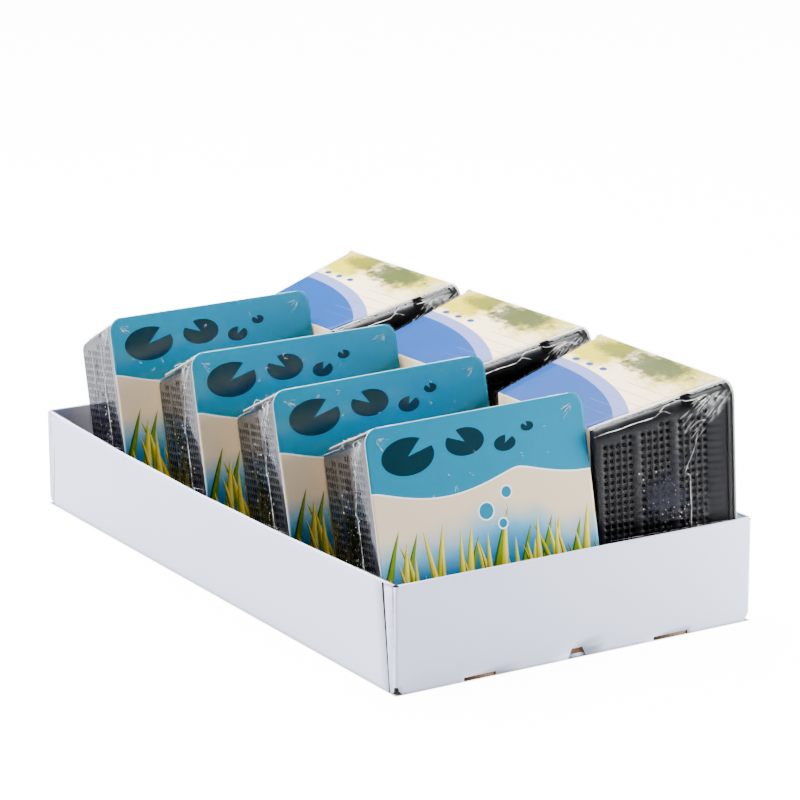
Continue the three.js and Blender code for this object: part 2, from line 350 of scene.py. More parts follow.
class Sketch:
    """A node tree that is written as a few short sums."""

    def __init__(self, tree):
        self.tree = tree
        self.shader = tree.nodes.get("Principled BSDF")

    def feed(self, socket, value):
        if isinstance(value, Value):
            self.tree.links.new(value.socket, socket)
        else:
            socket.default_value = value

    def paint(self, **values):
        """Sets or links inputs of the Principled BSDF, each named with _ for a space."""
        for name, value in values.items():
            self.feed(self.shader.inputs[name.replace("_", " ")], value)

    def node(self, kind, inputs, **settings):
        """A new node with its settings, whose inputs are set or linked."""
        node = self.tree.nodes.new(kind)
        for name, value in settings.items():
            setattr(node, name, value)
        for key, value in inputs.items():
            self.feed(node.inputs[key], value)
        return node

    def put(self, kind, inputs, out=0, **settings):
        return Value(self, self.node(kind, inputs, **settings).outputs[out])

    def group(self, group, **inputs):
        """A node group's outputs by name, from inputs that are named with _ for a space."""
        inputs = {name.replace("_", " "): value for name, value in inputs.items()}
        node = self.node("ShaderNodeGroup", inputs, node_tree=group)
        return {socket.name: Value(self, socket) for socket in node.outputs}

    def maths(self, operation, *values, clamp=False):
        return self.put("ShaderNodeMath", dict(enumerate(values)), operation=operation, use_clamp=clamp)

    def vector(self, operation, *values):
        return self.put("ShaderNodeVectorMath", dict(enumerate(values)), operation=operation)

    def measure(self, operation, *values):
        """A vector sum whose outcome is a plain number."""
        return self.put("ShaderNodeVectorMath", dict(enumerate(values)), "Value", operation=operation)

    def blend(self, amount, first, second, kind="MIX"):
        inputs = {0: amount, 6: first, 7: second}
        return self.put("ShaderNodeMix", inputs, 2, data_type="RGBA", blend_type=kind)

    def rise(self, value, low, high):
        """0 where value is under low and 1 where it is over high, smooth between them."""
        inputs = {"Value": value, "From Min": low, "From Max": high}
        return self.put("ShaderNodeMapRange", inputs, interpolation_type="SMOOTHSTEP")

    def noise(self, place, scale, detail=3.0, roughness=0.5):
        inputs = {"Vector": place, "Scale": scale, "Detail": detail, "Roughness": roughness}
        return self.put("ShaderNodeTexNoise", inputs)

    def scatter(self, seed):
        """A value from 0 to 1 that looks random from one seed to the next."""
        return self.put("ShaderNodeTexWhiteNoise", {"W": seed}, noise_dimensions="1D")

    def object_place(self):
        return self.put("ShaderNodeTexCoord", {}, "Object")

    def print_place(self):
        """A place on the printed sleeve, and its two shares across and up or along it."""
        place = self.put("ShaderNodeUVMap", {}, uv_map="print")
        node = self.node("ShaderNodeSeparateXYZ", {0: place})
        return place, Value(self, node.outputs[0]), Value(self, node.outputs[1])

    def bump(self, height, distance, strength=1.0):
        inputs = {"Height": height, "Distance": distance, "Strength": strength}
        return self.put("ShaderNodeBump", inputs)

    def disc(self, place, centre, radius):
        """A mask of the places inside a circle."""
        return self.measure("DISTANCE", place, (*centre, 0.0)) < radius


def new_group(name, inputs, outputs):
    """A shader node group, its sketch, its given values by name and the sockets that it has to fill."""
    group = bpy.data.node_groups.new(name, "ShaderNodeTree")
    group.interface.new_socket("Place", in_out="INPUT", socket_type="NodeSocketVector")
    for socket, value in inputs.items():
        made = group.interface.new_socket(socket, in_out="INPUT", socket_type="NodeSocketFloat")
        made.default_value = value
    for socket in outputs:
        group.interface.new_socket(socket, in_out="OUTPUT", socket_type="NodeSocketFloat")
    sketch = Sketch(group)
    given = {socket.name: Value(sketch, socket) for socket in group.nodes.new("NodeGroupInput").outputs}
    return group, sketch, given, group.nodes.new("NodeGroupOutput").inputs


def paper_fibre_group():
    """The faint cloudiness and tooth of pressed paper."""
    inputs = {"Fibre Scale": 900.0, "Cloud Scale": 18.0, "Depth": 0.05}
    group, sketch, given, wanted = new_group("paper fibre", inputs, ("Shade", "Height"))
    cloud = sketch.noise(given["Place"], given["Cloud Scale"], 4.0)
    fibre = sketch.noise(given["Place"], given["Fibre Scale"], 2.0, 0.6)
    sketch.feed(wanted["Shade"], 1.0 - (cloud * 0.7 + fibre * 0.3) * given["Depth"])
    sketch.feed(wanted["Height"], fibre)
    return group


def scuff_group():
    """Scattered rubbed patches, as a mask."""
    group, sketch, given, wanted = new_group("scuff", {"Scale": 60.0, "Cover": 0.2}, ("Mask",))
    coarse = sketch.noise(given["Place"], given["Scale"], 6.0, 0.65)
    start = 0.8 - given["Cover"]
    sketch.feed(wanted["Mask"], sketch.rise(coarse, start, start + 0.12))
    return group


# Finishes

def finish(name, **values):
    """A new material and its sketch, with plain values set on its Principled BSDF."""
    material = bpy.data.materials.new(name)
    material.use_nodes = True
    sketch = Sketch(material.node_tree)
    sketch.paint(**values)
    return material, sketch


def shaded(sketch, colour, shade):
    """The colour, darkened by a shade value."""
    grey = sketch.put("ShaderNodeCombineColor", {0: shade, 1: shade, 2: shade})
    return sketch.blend(1.0, colour, grey, "MULTIPLY")


def coated_board_finish(name, fibre, scuff, colour):
    """Clay-coated board: smooth, a little glossy, with faint washboard lines and rubs."""
    material, sketch = finish(name)
    place = sketch.object_place()
    paper = sketch.group(fibre, Place=place, Depth=0.05)
    rubbed = sketch.group(scuff, Place=place, Scale=35.0, Cover=0.16)["Mask"]
    face = sketch.blend(rubbed * 0.3, colour, RUBBED_BOARD)
    flute = sketch.put("ShaderNodeTexWave", {"Vector": place, "Scale": 95.0, "Distortion": 0.6}, "Fac",
                       bands_direction="Z")
    sketch.paint(Base_Color=shaded(sketch, face, paper["Shade"]), Roughness=rubbed * 0.2 + 0.38,
                 Normal=sketch.bump(flute * 0.15 + paper["Height"], 0.06 * MM, 0.5))
    return material


def paper_finish(name, fibre, colour, depth, cloud_scale, tooth, **values):
    """Bare paper or card: kraft, the board's cut edges in dark grey as painted shade in the gaps between
    sheets, or the sleeve's unprinted inside.
    """
    material, sketch = finish(name, **values)
    paper = sketch.group(fibre, Place=sketch.object_place(), Depth=depth, Cloud_Scale=cloud_scale)
    sketch.paint(Base_Color=shaded(sketch, colour, paper["Shade"]),
                 Normal=sketch.bump(paper["Height"], tooth))
    return material


def basket_finish(name, scuff, black, dust_colour, gloss):
    """Black moulded plastic with a fine grain and a little dust."""
    material, sketch = finish(name, Specular_IOR_Level=gloss)
    place = sketch.object_place()
    dust = sketch.group(scuff, Place=place, Scale=90.0, Cover=0.26)["Mask"]
    grain = sketch.noise(place, 1600.0, 2.0)
    sketch.paint(Base_Color=sketch.blend(dust * 0.5, black, dust_colour), Roughness=dust * 0.25 + 0.36,
                 Normal=sketch.bump(grain, 0.05 * MM, 0.6))
    return material


def soil_finish():
    """Dark peaty planting soil with paler fibres."""
    material, sketch = finish("planting_soil", Roughness=0.95, Specular_IOR_Level=0.03)
    crumbs = sketch.noise(sketch.object_place(), 260.0, 6.0, 0.7)
    sketch.paint(Base_Color=sketch.blend(sketch.rise(crumbs, 0.52, 0.72), PEAT, PEAT_FIBRE),
                 Normal=sketch.bump(crumbs, 1.2 * MM))
    return material


def reed_row(sketch, across, up, count, seed, tallest, slant, bend):
    """A row of slim reeds: its mask, and a point's place across its blade, from -1 to 1."""
    column = (across - (up * up * bend + up * slant)) * count
    index = sketch.maths("FLOOR", column) + seed
    height = (sketch.scatter(index) * 0.38 + 0.62) * tallest
    middle = sketch.scatter(index + 0.5) * 0.4 + 0.3
    left_over = sketch.maths("MAXIMUM", 1.0 - up / height, 0.0)
    width = sketch.maths("MAXIMUM", left_over ** 0.8 * REED_HALF_WIDTH, 0.0001)
    side = (sketch.maths("FRACT", column) - middle) / width
    return abs(side) < 1.0, side


def reed_colour(sketch, side, edge, body, light):
    """A blade's colour: a dark edge, a bright body and a light stripe on one side."""
    colour = sketch.blend(sketch.rise(side, -0.75, -0.1), edge, body)
    colour = sketch.blend(sketch.rise(side, 0.0, 0.5), colour, light)
    return sketch.blend(sketch.rise(abs(side), 0.72, 1.0) * 0.8, colour, edge)


def lily_pad(sketch, place, centre, radius, turn):
    """A flattened disc with a narrow notch cut towards its middle."""
    away = sketch.vector("SUBTRACT", place, (*centre, 0.0))
    away = sketch.vector("MULTIPLY", away, (1.0, PAD_FLATNESS, 0.0))
    reach = sketch.measure("LENGTH", away)
    along = sketch.measure("DOT_PRODUCT", away, (math.cos(turn), math.sin(turn), 0.0))
    return (reach < radius) * (along < reach * PAD_NOTCH)


def front_print(sketch):
    """The sleeve's face: a teal head with lily pads, water below it and rows of reeds."""
    place, across, up = sketch.print_place()
    cloud = sketch.noise(place, 3.2, 4.0)
    wet = (0.67 - up) / 0.26 - abs(across - 0.48) * 0.8 + (cloud - 0.5) * 0.9
    colour = sketch.blend(sketch.rise(wet, 0.0, 0.6), PRINT_CREAM, PRINT_SKY)
    colour = sketch.blend(sketch.rise(wet, 0.4, 0.95), colour, PRINT_DEEP_SKY)
    for *shape, edge, body, light in REED_ROWS:
        mask, side = reed_row(sketch, across, up, *shape)
        colour = sketch.blend(mask, colour, reed_colour(sketch, side, edge, body, light))
    swing = sketch.maths("SINE", across * (1.5 * math.pi))
    wave = sketch.maths("SQRT", swing * swing + 0.015)
    over = up - (TEAL_EDGE - wave * TEAL_SWING)
    colour = sketch.blend(over > -TEAL_RIM, colour, WHITE)
    colour = sketch.blend(over > 0.0, colour, TEAL)
    for pad in DARK_PADS:
        colour = sketch.blend(lily_pad(sketch, place, *pad), colour, DARK_TEAL)
    for centre, radius in TEAL_BUBBLES:
        colour = sketch.blend(sketch.disc(place, centre, radius + BUBBLE_RIM), colour, WHITE)
        colour = sketch.blend(sketch.disc(place, centre, radius), colour, TEAL)
    return colour


def soft_patch(sketch, place, centre, reach, cloud):
    """A cloudy patch that fades out from its centre."""
    away = sketch.vector("SUBTRACT", place, (*centre, 0.0))
    away = sketch.vector("DIVIDE", away, (*reach, 1.0))
    return sketch.rise(1.0 - sketch.measure("LENGTH", away) + cloud, 0.05, 0.6)


def upper_print(sketch):
    """The sleeve's upper panel: cream with soft washes, a blue end and a few fine rules."""
    place, across, depth = sketch.print_place()
    cloud = (sketch.noise(place, 12.0, 6.0, 0.72) - 0.5) * 1.6
    colour = PANEL_CREAM
    for centre, reach, tint, strength in WASHES:
        patch = soft_patch(sketch, place, centre, reach, cloud)
        colour = sketch.blend(patch * strength, colour, tint)
    for radius, tint in ARCHES:
        colour = sketch.blend(sketch.disc(place, ARCH_CENTRE, radius), colour, tint)
    span = (depth > 0.36) * (depth < 0.8)
    side = (across > 0.08) * (across < 0.42)
    rules = (sketch.maths("PINGPONG", depth, RULE_PITCH / 2) < RULE_HALF_WIDTH) * (span * side)
    colour = sketch.blend(rules * 0.7, colour, PANEL_GREY)
    for centre in PANEL_DOTS:
        colour = sketch.blend(sketch.disc(place, centre, DOT_RADIUS), colour, PANEL_BLUE)
    # Painted highlight: a pale band along the fold with the front
    return sketch.blend(depth < FOLD_SHARE, colour, PAINTED_FOLD_HIGHLIGHT)


def card_finish(name, fibre, colour_of):
    """Smooth printed card, with the colour that the given print puts on it."""
    material, sketch = finish(name, Roughness=0.35, Specular_IOR_Level=0.06)
    paper = sketch.group(fibre, Place=sketch.object_place(), Depth=0.06, Fibre_Scale=1400.0)
    sketch.paint(Base_Color=shaded(sketch, colour_of(sketch), paper["Shade"]),
                 Normal=sketch.bump(paper["Height"], 0.04 * MM, 0.4))
    return material


def film_finish():
    """Clear glossy film: it mirrors a little head on and more at a slant, and damp clouds it in places."""
    material, sketch = finish("shrink_film", Metallic=1.0, Roughness=0.07)
    place = sketch.object_place()
    damp = sketch.put("ShaderNodeAttribute", {}, "Fac", attribute_name="damp")
    patchy = sketch.noise(place, 45.0, 3.0, 0.55) + damp * 0.3
    haze = sketch.rise(patchy, 0.58, 0.8) * sketch.rise(damp, 0.1, 0.5)
    facing = sketch.put("ShaderNodeLayerWeight", {"Blend": 0.5}, "Facing")
    slant = sketch.maths("MINIMUM", facing ** 4.2, 0.12)
    sketch.paint(Base_Color=sketch.blend(sketch.rise(haze, 0.0, 0.12), WHITE, FILM_HAZE),
                 Alpha=sketch.maths("ADD", slant + haze * 0.6, 0.008, clamp=True),
                 Normal=sketch.bump(sketch.noise(place, 38.0, 1.0), 0.5 * MM, 0.4))
    return material


def film_fold_finish():
    """Folds gathered in the film, where its layers turn milky."""
    material, sketch = finish("film_fold", Roughness=0.12, Base_Color=WHITE)
    broken = sketch.noise(sketch.object_place(), 240.0, 3.0)
    sketch.paint(Alpha=sketch.rise(broken, 0.4, 0.6) * 0.65 + 0.2)
    return material


# Mesh helpers

def placed(name, data):
    """A new object in the scene."""
    made = bpy.data.objects.new(name, data)
    bpy.context.scene.collection.objects.link(made)
    return made


def mesh_from(name, bm, materials):
    mesh = bpy.data.meshes.new(name)
    bm.to_mesh(mesh)
    bm.free()
    for material in materials:
        mesh.materials.append(material)
    return mesh


def piece_from(name, bm, materials, replaced, matrix=None):
    """A finished piece: its mesh in place in the row frame, its finishes, and what it stands for."""
    if matrix is not None:
        bmesh.ops.transform(bm, matrix=matrix, verts=bm.verts)
    piece = placed(name, mesh_from(name, bm, materials))
    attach(piece, BODY)
    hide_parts(*replaced)
    return piece


def faces_of(verts):
    return {face for vert in verts for face in vert.link_faces}


def finish_faces(verts, place):
    """Gives the faces of the vertices the finish at a place in their piece's list."""
    for face in faces_of(verts):
        face.material_index = place


def sharpness(edge):
    """The angle between an edge's two faces, in degrees."""
    return math.degrees(edge.calc_face_angle(0.0)) if len(edge.link_faces) == 2 else 0.0


def smooth_faces(bm, angle=35):
    """Smooth shading, kept sharp over the given angle."""
    for face in bm.faces:
        face.smooth = True
    for edge in bm.edges:
        if sharpness(edge) > angle:
            edge.smooth = False


def thicken(piece, thickness, back, rim):
    """Gives a sheet its thickness, inwards, with a finish of its own for its back and its cut edges."""
    wall = piece.modifiers.new("thickness", "SOLIDIFY")
    wall.thickness = thickness
    wall.offset = -1
    wall.use_quality_normals = True
    wall.material_offset = back
    wall.material_offset_rim = rim


def lined_grid(bm, first_lines, second_lines):
    """A flat grid whose lines lie at the given places, as {(i, j): vertex}."""
    columns, rows = len(first_lines) - 1, len(second_lines) - 1
    made = bmesh.ops.create_grid(bm, x_segments=columns, y_segments=rows, size=1.0)["verts"]
    low = min(vert.co.x for vert in made)
    span = max(vert.co.x for vert in made) - low
    corners = {}
    for vert in made:
        i = round((vert.co.x - low) / span * columns)
        j = round((vert.co.y - low) / span * rows)
        vert.co = Vector((first_lines[i], second_lines[j], 0.0))
        corners[i, j] = vert
    return corners


def spaced(low, high, count):
    return [low + (high - low) * k / count for k in range(count + 1)]


def drawn_out(bm, edges):
    """Extrudes open edges, and gives the new vertices and the new edges between them."""
    made = bmesh.ops.extrude_edge_only(bm, edges=edges)["geom"]
    verts = [item for item in made if isinstance(item, bmesh.types.BMVert)]
    fresh = set(verts)
    edges = [item for item in made if isinstance(item, bmesh.types.BMEdge)]
    return verts, [edge for edge in edges if all(vert in fresh for vert in edge.verts)]


def quarter_round(radius):
    """Three steps round a quarter circle, each as how far in and how far along it lies."""
    angles = [step * math.pi / 6 for step in (1, 2, 3)]
    return [(radius * (1 - math.cos(angle)), radius * math.sin(angle)) for angle in angles]


# Tray

def wall_profile():
    """The folded wall's section from its outer foot, over its rolled top, to its inner foot."""
    shoulder = TRAY_HEIGHT - ROLL_RADIUS
    outer = [(0.0, h) for h in (0.0, SLOT_HEIGHT, *spaced(NOTCH_HEIGHT, shoulder, 9))]
    roll = [(inset, shoulder + rise) for inset, rise in quarter_round(ROLL_RADIUS)]
    over = [(BOARD - inset, height) for inset, height in reversed(roll)]
    inner = [(BOARD, h) for h in spaced(shoulder, BOARD, 8)]
    return outer + roll + over + inner


def flap_reach(height):
    """How far the end wall's flap runs along a long wall at one height."""
    return FLAP_BOTTOM + (FLAP_TOP - FLAP_BOTTOM) * height / TRAY_HEIGHT


def score_dent(distance):
    """How far the crushed fold beside a corner is pressed in."""
    away = min(abs(distance - SCORE_PLACE) / SCORE_REACH, 1.0)
    return SCORE_DEPTH / 2 * (1 + math.cos(math.pi * away))


def warp(along, height, seed):
    """The slight dents and waves of a folded board wall."""
    lift = min(1.0, height / TRAY_HEIGHT)
    return DENT_DEPTH * lift * noise.noise(Vector((along * 9, height * 14, seed)))


def long_wall(bm, side):
    """A long wall, bowed outwards, that stops short of the end walls' flaps on its outside."""
    profile = wall_profile()
    corners = lined_grid(bm, range(WALL_COLUMNS + 1), range(len(profile)))
    half = TRAY_LENGTH / 2
    for (i, j), vert in corners.items():
        inset, height = profile[j]
        short = flap_reach(height) + FLAP_GAP if inset == 0 else BOARD + GAP
        along = (2 * i / WALL_COLUMNS - 1) * (half - short)
        place = along / TRAY_LENGTH + 0.5
        bow = BOWS[side] * height / TRAY_HEIGHT * math.sin(math.pi * place)
        wave = warp(place, height, 3.0 + side) * math.sin(math.pi * place)
        vert.co = Vector((side * (TRAY_WIDTH / 2 - inset + bow + wave), along, height))


def end_wall_lines():
    """Where the end wall's upright lines stand between its corners."""
    half = TRAY_WIDTH / 2
    lines = {hand * (half - inset) for hand in (-1, 1) for inset in CORNER_LINES}
    lines |= {x for span in (*SLOTS, NOTCH_SPAN) for x in span}
    return sorted(lines | set(spaced(-half + EVEN_LINES_FROM, half - EVEN_LINES_FROM, 10)))


def end_wall_place(x, beyond, inset, height):
    """A point of an end wall that faces -Y. On a flap, it is the given number of lines beyond x."""
    half = TRAY_WIDTH / 2
    y = inset - TRAY_LENGTH / 2
    if inset > 0:
        return min(max(x, -half + BOARD + GAP), half - BOARD - GAP), y, height
    if height <= NOTCH_HEIGHT and x in NOTCH_SPAN:
        reach = NOTCH_BOTTOM_WIDTH + (NOTCH_TOP_WIDTH - NOTCH_BOTTOM_WIDTH) * height / NOTCH_HEIGHT
        x = NOTCH_CENTRE + math.copysign(reach / 2, x - NOTCH_CENTRE)
    from_corner = half - abs(x)
    hand = math.copysign(1, x)
    if from_corner < NEAR:
        angle = math.pi / 2 * min(beyond, CORNER_TURNS) / CORNER_TURNS
        x = hand * (half - CORNER_RADIUS * (1 - math.sin(angle)))
        y += CORNER_RADIUS * (1 - math.cos(angle))
        if beyond > CORNER_TURNS:
            y += (flap_reach(height) - CORNER_RADIUS) * (beyond - CORNER_TURNS) / FLAP_STEPS
            from_corner = y + TRAY_LENGTH / 2
            x -= hand * score_dent(from_corner)
    elif from_corner < CORNER_RADIUS:
        x = hand * (half - CORNER_RADIUS)
    return x, y, max(height, CORNER_NIP - from_corner)


def in_opening(face, side):
    """Whether a face of an end wall is cut away by a slot, or by the notch of the front wall."""
    x, y, z = face.calc_center_median()
    if abs(abs(y) - TRAY_LENGTH / 2) >= BOARD / 2:
        return False
    in_slot = z < SLOT_HEIGHT and any(low < x < high for low, high in SLOTS)
    return in_slot or side < 0 and z < NOTCH_HEIGHT and NOTCH_SPAN[0] < x < NOTCH_SPAN[1]


def end_wall(bm, side):
    """An end wall with slots at its foot, whose outer sheet wraps the corners as flaps."""
    profile, xs = wall_profile(), end_wall_lines()
    surplus, last = CORNER_TURNS + FLAP_STEPS, len(xs) - 1
    corners = lined_grid(bm, range(-surplus, len(xs) + surplus), range(len(profile)))
    inner_flaps = []
    for (i, j), vert in corners.items():
        k = min(max(i - surplus, 0), last)
        beyond = abs(i - surplus - k)
        x, y, height = end_wall_place(xs[k], beyond, *profile[j])
        wave = warp(x * 2, height, 9.0 + side) * max(0.0, 1 - abs(x) / (TRAY_WIDTH / 2))
        vert.co = Vector((x, (y - wave) * -side, height))
        if beyond > 0 and profile[j][0] > 0:
            inner_flaps.append(vert)
    removed = [face for face in faces_of(corners.values()) if in_opening(face, side)]
    bmesh.ops.delete(bm, geom=removed, context="FACES")
    bmesh.ops.delete(bm, geom=[vert for vert in inner_flaps if vert.is_valid], context="VERTS")


def foot_tab(bm, span, inset, top, finish_place):
    """A strip of board that shows in an opening at the foot of both end walls."""
    for side in (-1, 1):
        strip = lined_grid(bm, span, (TAB_FOOT, top))
        for vert in strip.values():
            vert.co = Vector((vert.co.x, side * (TRAY_LENGTH / 2 - inset), vert.co.y))
        finish_faces(strip.values(), finish_place)


def corner_tab(bm, side, end):
    """An end wall's glued tab, which stands inside a long wall and shows along its top."""
    tab = lined_grid(bm, spaced(BOARD + GAP, TAB_REACH, 5), spaced(BOARD, TRAY_HEIGHT - TAB_DROP, 6))
    for vert in tab.values():
        along, height = vert.co.x, vert.co.y
        bow = BOWS[side] * height / TRAY_HEIGHT * math.sin(math.pi * along / TRAY_LENGTH)
        x = side * (TRAY_WIDTH / 2 - BOARD - PLY - TAB_CLEARANCE + bow)
        vert.co = Vector((x, end * (TRAY_LENGTH / 2 - along), height))


def floor_sheet(bm, height):
    """One of the tray's two floor sheets."""
    half_width, half_length = TRAY_WIDTH / 2 - BOARD - GAP, TRAY_LENGTH / 2 - BOARD - GAP
    sheet = lined_grid(bm, spaced(-half_width, half_width, 8), spaced(-half_length, half_length, 12))
    bmesh.ops.translate(bm, vec=(0, 0, height), verts=list(sheet.values()))
    return sheet


def tray_piece(materials):
    """The tray: two long and two end walls folded over at the top, and a floor of two sheets."""
    bm = bmesh.new()
    for side in (-1, 1):
        long_wall(bm, side)
        end_wall(bm, side)
    for slot in SLOTS:
        foot_tab(bm, slot, TAB_INSET, SLOT_HEIGHT - SLOT_SHADOW, RAW_FACE)
    foot_tab(bm, NOTCH_SPAN, PLY + GAP, NOTCH_HEIGHT - NOTCH_SHADOW, PRINTED_FACE)
    for side in (-1, 1):
        for end in (-1, 1):
            corner_tab(bm, side, end)
    floor_sheet(bm, BOARD)
    underside = floor_sheet(bm, 0.0)
    bmesh.ops.reverse_faces(bm, faces=list(faces_of(underside.values())))
    bmesh.ops.remove_doubles(bm, verts=bm.verts, dist=WELD)
    point_walls_outwards(bm)
    shade_inside(bm)
    smooth_faces(bm)
    tray = piece_from("folded_board_tray", bm, materials, ["tray"])
    # The cut edges take the dark grey painted-shade finish
    thicken(tray, PLY, RAW_FACE, CUT_RIM)


def shade_inside(bm):
    """Gives the faces that look into the tray a darker grey copy of the board: painted shade for its shaded
    white inside.
    """
    for face in bm.faces:
        middle = face.calc_center_median()
        inwards = -middle.x * face.normal.x / TRAY_WIDTH - middle.y * face.normal.y / TRAY_LENGTH
        on_floor = face.normal.z > 0.9 and middle.z < 2 * BOARD
        if on_floor or inwards > 0.3:
            face.material_index = SHADED_INSIDE_FACE


def point_walls_outwards(bm):
    """Turns each wall sheet so that its printed face points away from the board's middle."""
    seen = set()
    for start in list(bm.faces):
        if start in seen:
            continue
        island = [start]
        seen.add(start)
        for face in island:
            for other in (other for edge in face.edges for other in edge.link_faces):
                if other not in seen:
                    seen.add(other)
                    island.append(other)
        flat = all(abs(face.normal.z) > 0.9 for face in island)
        top = max(island, key=lambda face: face.calc_center_median().z)
        if not flat and top.normal.z < 0:
            bmesh.ops.reverse_faces(bm, faces=island)


def inside_card(depth):
    return KIT_WIDTH / 2 - depth * math.tan(TAPER) - MOUTH / math.cos(TAPER)


def body_half(depth):
    """The basket's outer half width at a depth."""
    under = inside_card(MOUTH) - LIP_OVERHANG
    return under + (inside_card(END) - under) * (depth - MOUTH) / (END - MOUTH)


def body_corner(depth):
    front = FRONT_CORNER - LIP_OVERHANG
    return front + (BASE_CORNER - front) * (depth - MOUTH) / (END - MOUTH)


def to_square(value, old, new):
    """Moves a coordinate from one rounded square, given as (half, corner), to the like place on another."""
    old_flat, new_flat = old[0] - old[1], new[0] - new[1]
    if abs(value) <= old_flat:
        return value * new_flat / old_flat
    share = (abs(value) - old_flat) / old[1]
    return math.copysign(new_flat + share * new[1], value)


def shaded_hole_edges(places):
    return [place + sign * HOLE / 2 for place in places for sign in (-1, 1)]


def punched_grid(bm, start, stop):
    """A flat wall with its groups of square holes."""
    columns = [FIRST_COLUMN + k * COLUMN_PITCH for k in COLUMNS]
    rows = [k * ROW_PITCH for k in range(-ROWS, ROWS + 1)]
    heights = sorted([-KIT_WIDTH / 2, KIT_WIDTH / 2, *shaded_hole_edges(rows)])
    corners = lined_grid(bm, sorted([start, stop, *shaded_hole_edges(columns)]), heights)
    removed = []
    for face in faces_of(corners.values()):
        depth, height, _ = face.calc_center_median()
        in_column = any(abs(depth - column) < HOLE / 4 for column in columns)
        in_row = any(abs(height - row) < HOLE / 4 for row in rows)
        if in_column and in_row and abs(height) + HOLE / 2 < body_half(depth) - PLAIN_MARGIN:
            removed.append(face)
    bmesh.ops.delete(bm, geom=removed, context="FACES")


def perforated_wall(bm, start, stop):
    """One side wall of the basket, cut along its rounded corners' edges, and the corner beside it."""
    punched_grid(bm, start, stop)
    near, far = (body_half(depth) - body_corner(depth) for depth in (start, stop))
    slope = (far - near) / (stop - start)
    for side in (-1, 1):
        bmesh.ops.bisect_plane(bm, geom=[*bm.verts, *bm.edges, *bm.faces], plane_co=(start, side * near, 0.0),
                               plane_no=(-slope, side, 0.0), clear_outer=True, dist=CUT_WELD)
    for vert in bm.verts:
        depth, height = vert.co.x, vert.co.y
        vert.co = Vector((-body_half(depth), depth, height))
    edge_verts = {v for v in bm.verts if abs(v.co.z - (body_half(v.co.y) - body_corner(v.co.y))) < NEAR}
    edges = [e for e in bm.edges if all(v in edge_verts for v in e.verts)]
    for step in range(1, CORNER_SEGMENTS + 1):
        verts, edges = drawn_out(bm, edges)
        angle = math.pi - step * math.pi / 2 / CORNER_SEGMENTS
        for vert in verts:
            corner = body_corner(vert.co.y)
            flat = body_half(vert.co.y) - corner
            vert.co.x = -flat + corner * math.cos(angle)
            vert.co.z = flat + corner * math.sin(angle)


def rim_at(bm, depth):
    return [e for e in bm.edges if e.is_boundary and all(abs(v.co.y - depth) < NEAR for v in e.verts)]


def extend_rim(bm, edges, further, old, new):
    """Draws a rim of the basket further in depth and on to a new rounded square, and gives the new rim."""
    verts, rim = drawn_out(bm, edges)
    for vert in verts:
        vert.co.x = to_square(vert.co.x, old, new)
        vert.co.z = to_square(vert.co.z, old, new)
        vert.co.y += further
    return rim


def basket_mesh():
    """The whole basket's outer skin: four perforated walls, its turned lip and its base."""
    bm = bmesh.new()
    start, stop = MOUTH + LIP_HEIGHT, END - BASE_EDGE
    perforated_wall(bm, start, stop)
    bmesh.ops.spin(bm, geom=[*bm.verts, *bm.edges, *bm.faces], cent=(0, 0, 0), axis=(0, 1, 0),
                   angle=math.pi * 1.5, steps=3, use_duplicate=True)
    bmesh.ops.remove_doubles(bm, verts=bm.verts, dist=BASKET_WELD)
    lip = (inside_card(start), FRONT_CORNER)
    rim = extend_rim(bm, rim_at(bm, start), 0.0, (body_half(start), body_corner(start)), lip)
    extend_rim(bm, rim, -LIP_HEIGHT, lip, (inside_card(MOUTH), FRONT_CORNER))
    half, corner, reached = body_half(stop), body_corner(stop), 0.0
    old, rim = (half, corner), rim_at(bm, stop)
    for drawn_in, along in quarter_round(BASE_EDGE):
        new = (half - drawn_in, corner - drawn_in)
        rim = extend_rim(bm, rim, along - reached, old, new)
        old, reached = new, along
    bmesh.ops.holes_fill(bm, edges=rim, sides=0)
    bmesh.ops.recalc_face_normals(bm, faces=bm.faces)
    bmesh.ops.translate(bm, vec=(0, 0, KIT_WIDTH / 2), verts=bm.verts)
    smooth_faces(bm)
    return bm


def tapered_block(cuts, low, high, half_at, corner_at):
    """A finely divided block with rounded long edges that narrows with its depth."""
    bm = bmesh.new()
    bmesh.ops.create_cube(bm, size=2.0)
    bmesh.ops.subdivide_edges(bm, edges=bm.edges[:], cuts=cuts, use_grid_fill=True)
    for vert in bm.verts:
        share = (vert.co.y + 1) / 2
        depth = low + (high - low) * share
        vert.co = rounded(vert.co.x * half_at(depth), depth, vert.co.z * half_at(depth),
                          half_at(depth), corner_at(depth))
    return bm


def rounded(x, depth, z, half, corner):
    """A point of a square section, moved to where it lies once the section's corners are rounded."""
    flat = half - corner
    over_x, over_z = max(abs(x) - flat, 0.0), max(abs(z) - flat, 0.0)
    if over_x > 0 and over_z > 0:
        pull = max(over_x, over_z) / math.hypot(over_x, over_z)
        x = math.copysign(flat + over_x * pull, x)
        z = math.copysign(flat + over_z * pull, z)
    return Vector((x, depth, z + KIT_WIDTH / 2))


def soil_mesh():
    """The block of soil, with a crumbly top towards the mouth."""
    clearance = BASKET_WALL + 2 * GAP
    top, bottom = MOUTH + SOIL_TOP_DROP, END - BASKET_WALL - GAP
    bm = tapered_block(SOIL_CUTS, top, bottom, lambda d: body_half(d) - clearance,
                       lambda d: body_corner(d) - clearance)
    for vert in bm.verts:
        if vert.co.y < top + NEAR:
            vert.co.y += LUMP * max(0.0, noise.noise(vert.co * 90)) + CRUMB * noise.noise(vert.co * 320)
    bmesh.ops.recalc_face_normals(bm, faces=bm.faces)
    smooth_faces(bm, 60)
    return bm


